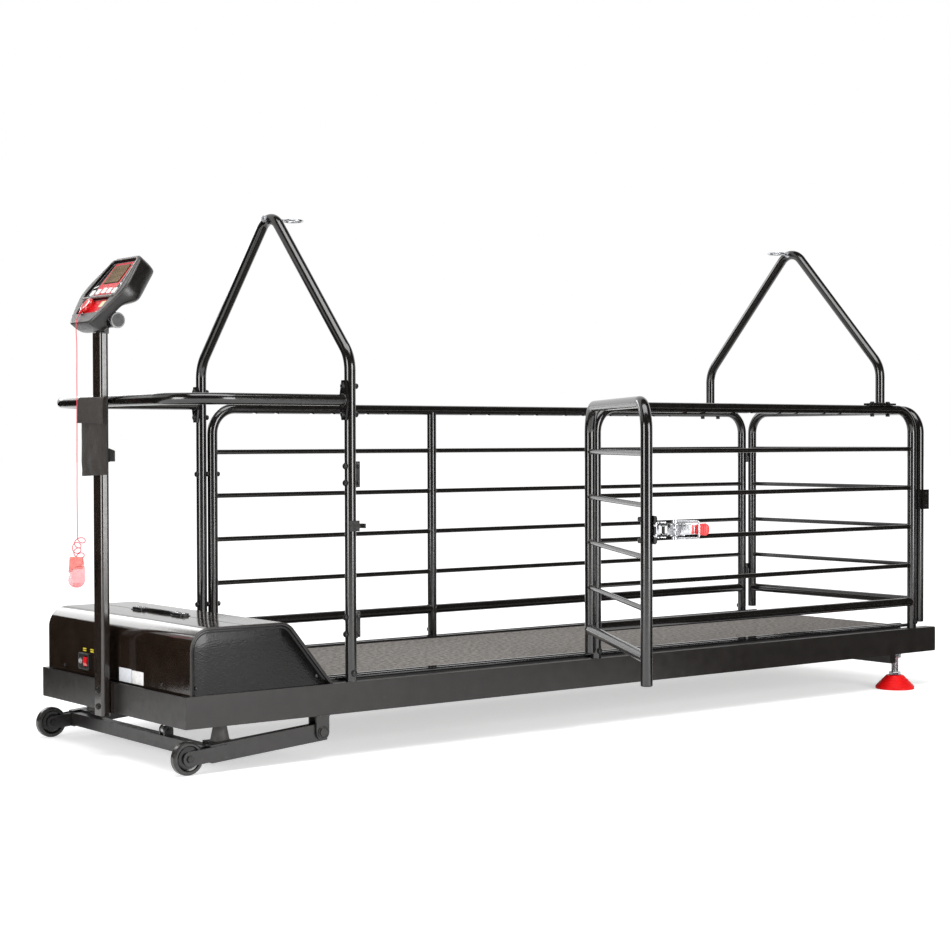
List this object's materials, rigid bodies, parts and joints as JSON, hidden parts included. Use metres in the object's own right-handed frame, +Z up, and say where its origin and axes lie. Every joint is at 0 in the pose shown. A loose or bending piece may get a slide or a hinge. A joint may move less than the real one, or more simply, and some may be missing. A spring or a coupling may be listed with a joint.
{
  "type": "dog treadmill",
  "caption": "Long running belt between welded tube side panels, with a hinged side gate, a rear gate, tether arches, a tilting console on a post and a powered incline.",
  "frame": {"origin": "on the floor, below the middle of the base between the rail ends", "axes": "+X from the motor end to the rear, +Y from the gate side to the far side, +Z up"},
  "size_m": [2.9284, 1.5952, 1.471],
  "materials": {
    "frame_paint": "semi-gloss black paint",
    "hood_paint": "fine-grained black paint",
    "deck_board": "coated board",
    "belt_rubber": "ribbed, speckled grey",
    "strip_plastic": "glossy black",
    "steel": "bare turned steel",
    "bright_metal": "bright plated",
    "motor_metal": "dark painted casting",
    "black_rubber": "matt black rubber",
    "grey_rubber": "matt grey rubber",
    "red_rubber": "smooth red rubber",
    "black_plastic": "matt black",
    "grey_plastic": "matt grey",
    "white_plastic": "matt white",
    "red_plastic": "glossy red",
    "lens_plastic": "glossy window",
    "cord_fabric": "braided red cord",
    "clip_plastic": "clear pink",
    "pouch_fabric": "grey woven cloth",
    "stop_metal": "matt grey paint"
  },
  "bodies": {
    "frame": {"side_rail_near": "frame_paint", "side_rail_far": "frame_paint", "front_apron": "frame_paint", "cross_members": "frame_paint", "belly_pan": "frame_paint", "running_deck": "deck_board", "running_belt": "belt_rubber", "foot_strips": "strip_plastic", "roller_axles": "steel", "drive_motor": "motor_metal", "drive_belt": "black_rubber", "control_box": "black_plastic", "lift_brackets": "frame_paint", "foot_studs": "bright_metal", "motor_hood": "hood_paint", "hood_side_plates": "hood_paint", "hood_strap": "black_plastic", "switch_bezel": "black_plastic", "console_post": "frame_paint", "console_yoke": "black_plastic", "handlebar": "frame_paint", "front_arch": "frame_paint", "rear_arch": "frame_paint", "tether_eyes": "bright_metal", "far_panel": "frame_paint", "near_panel": "frame_paint", "frame_bolts": "steel", "gate_hinges": "frame_paint", "gate_stops": "stop_metal", "remote_pouch": "pouch_fabric"},
    "front_roller": {"front_roller": "steel"},
    "rear_roller": {"rear_roller": "steel"},
    "motor_pulley": {"motor_pulley": "steel"},
    "lift": {"lift_frame": "frame_paint", "lift_bumpers": "grey_rubber", "lift_pins": "steel"},
    "wheel_near": {"wheel_near": "black_rubber"},
    "wheel_far": {"wheel_far": "black_rubber"},
    "actuator": {"actuator_body": "motor_metal"},
    "actuator_rod": {"actuator_rod": "steel"},
    "foot_near": {"foot_near": "red_rubber"},
    "foot_far": {"foot_far": "red_rubber"},
    "power_switch": {"power_switch": "red_plastic"},
    "reset_button": {"reset_button": "grey_plastic"},
    "console": {"console_shell": "black_plastic", "console_bezel": "grey_plastic", "display_lens": "lens_plastic"},
    "key_1": {"console_key_1": "white_plastic"},
    "key_2": {"console_key_2": "white_plastic"},
    "key_3": {"console_key_3": "white_plastic"},
    "key_4": {"console_key_4": "white_plastic"},
    "key_5": {"console_key_5": "white_plastic"},
    "safety_key": {"safety_key": "red_plastic", "safety_cord": "cord_fabric", "cord_clip": "clip_plastic"},
    "side_gate": {"side_gate": "frame_paint", "toggle_clamp": "bright_metal"},
    "toggle_lever": {"toggle_lever": "red_plastic"},
    "toggle_hook": {"toggle_hook": "bright_metal"},
    "rear_gate": {"rear_gate": "frame_paint"}
  },
  "joints": [
    {"name": "front_roller_spin", "type": "hinge", "parent": "frame", "child": "front_roller", "pos_m": [-1.19, 0, 0.1675], "axis": [0, 1, 0], "continuous": true},
    {"name": "rear_roller_spin", "type": "hinge", "parent": "frame", "child": "rear_roller", "pos_m": [1.33, 0, 0.1675], "axis": [0, 1, 0], "continuous": true},
    {"name": "motor_spin", "type": "hinge", "parent": "frame", "child": "motor_pulley", "pos_m": [-1.302, 0.334, 0.204], "axis": [0, 1, 0], "continuous": true},
    {"name": "lift_swing", "type": "hinge", "parent": "frame", "child": "lift", "pos_m": [-1.02, 0, 0.072], "axis": [0, -1, 0], "range_deg": [0, 12]},
    {"name": "actuator_tilt", "type": "hinge", "parent": "frame", "child": "actuator", "pos_m": [-1.335, -0.15, 0.338], "axis": [0, -1, 0], "range_deg": [0, 1.2]},
    {"name": "actuator_stroke", "type": "slide", "parent": "actuator", "child": "actuator_rod", "axis": [0, 0, -1], "range_m": [0, 0.067]},
    {"name": "wheel_near_spin", "type": "hinge", "parent": "lift", "child": "wheel_near", "pos_m": [-1.406, -0.3885, 0.042], "axis": [0, 1, 0], "continuous": true},
    {"name": "wheel_far_spin", "type": "hinge", "parent": "lift", "child": "wheel_far", "pos_m": [-1.406, 0.3885, 0.042], "axis": [0, 1, 0], "continuous": true},
    {"name": "foot_near_swivel", "type": "hinge", "parent": "frame", "child": "foot_near", "pos_m": [1.24, -0.388, 0.03], "axis": [0, 0, 1], "continuous": true},
    {"name": "foot_far_swivel", "type": "hinge", "parent": "frame", "child": "foot_far", "pos_m": [1.24, 0.388, 0.03], "axis": [0, 0, 1], "continuous": true},
    {"name": "power_rocker", "type": "hinge", "parent": "frame", "child": "power_switch", "pos_m": [-1.408, 0.156, 0.232], "axis": [0, 1, 0], "range_deg": [-10, 10]},
    {"name": "reset_press", "type": "slide", "parent": "frame", "child": "reset_button", "axis": [1, 0, 0], "range_m": [0, 0.003], "stiffness_N_per_m": 300},
    {"name": "console_tilt", "type": "hinge", "parent": "frame", "child": "console", "pos_m": [-1.425, 0, 1.137], "axis": [0, 1, 0], "range_deg": [0, 25]},
    {"name": "key_1_press", "type": "slide", "parent": "console", "child": "key_1", "axis": [0.7848, 0, -0.6198], "range_m": [0, 0.0015], "stiffness_N_per_m": 400},
    {"name": "key_2_press", "type": "slide", "parent": "console", "child": "key_2", "axis": [0.7848, 0, -0.6198], "range_m": [0, 0.0015], "stiffness_N_per_m": 400},
    {"name": "key_3_press", "type": "slide", "parent": "console", "child": "key_3", "axis": [0.7848, 0, -0.6198], "range_m": [0, 0.0015], "stiffness_N_per_m": 400},
    {"name": "key_4_press", "type": "slide", "parent": "console", "child": "key_4", "axis": [0.7848, 0, -0.6198], "range_m": [0, 0.0015], "stiffness_N_per_m": 400},
    {"name": "key_5_press", "type": "slide", "parent": "console", "child": "key_5", "axis": [0.7848, 0, -0.6198], "range_m": [0, 0.0015], "stiffness_N_per_m": 400},
    {"name": "safety_key_pull", "type": "slide", "parent": "console", "child": "safety_key", "axis": [-0.7848, 0, 0.6198], "range_m": [0, 0.03]},
    {"name": "side_gate_swing", "type": "hinge", "parent": "frame", "child": "side_gate", "pos_m": [-0.104, -0.393, 0.6], "axis": [0, 0, 1], "range_deg": [-60, 45]},
    {"name": "toggle_lever_swing", "type": "hinge", "parent": "side_gate", "child": "toggle_lever", "pos_m": [-0.45137, -1.07926, 0.602], "axis": [0, 0, 1], "range_deg": [-45, 90]},
    {"name": "toggle_hook_swing", "type": "hinge", "parent": "toggle_lever", "child": "toggle_hook", "pos_m": [-0.43485, -1.10265, 0.602], "axis": [0, 0, 1], "range_deg": [-80, 0]},
    {"name": "rear_gate_swing", "type": "hinge", "parent": "frame", "child": "rear_gate", "pos_m": [1.341, 0.393, 0.6], "axis": [0, 0, 1], "range_deg": [0, 90]}
  ],
  "couplings": [
    {"joint": "rear_roller_spin", "follows": "front_roller_spin", "ratio": 1},
    {"joint": "motor_spin", "follows": "front_roller_spin", "ratio": 2.2},
    {"joint": "actuator_tilt", "follows": "lift_swing", "ratio": 0.081},
    {"joint": "actuator_stroke", "follows": "lift_swing", "m_per_rad": 0.3137}
  ]
}
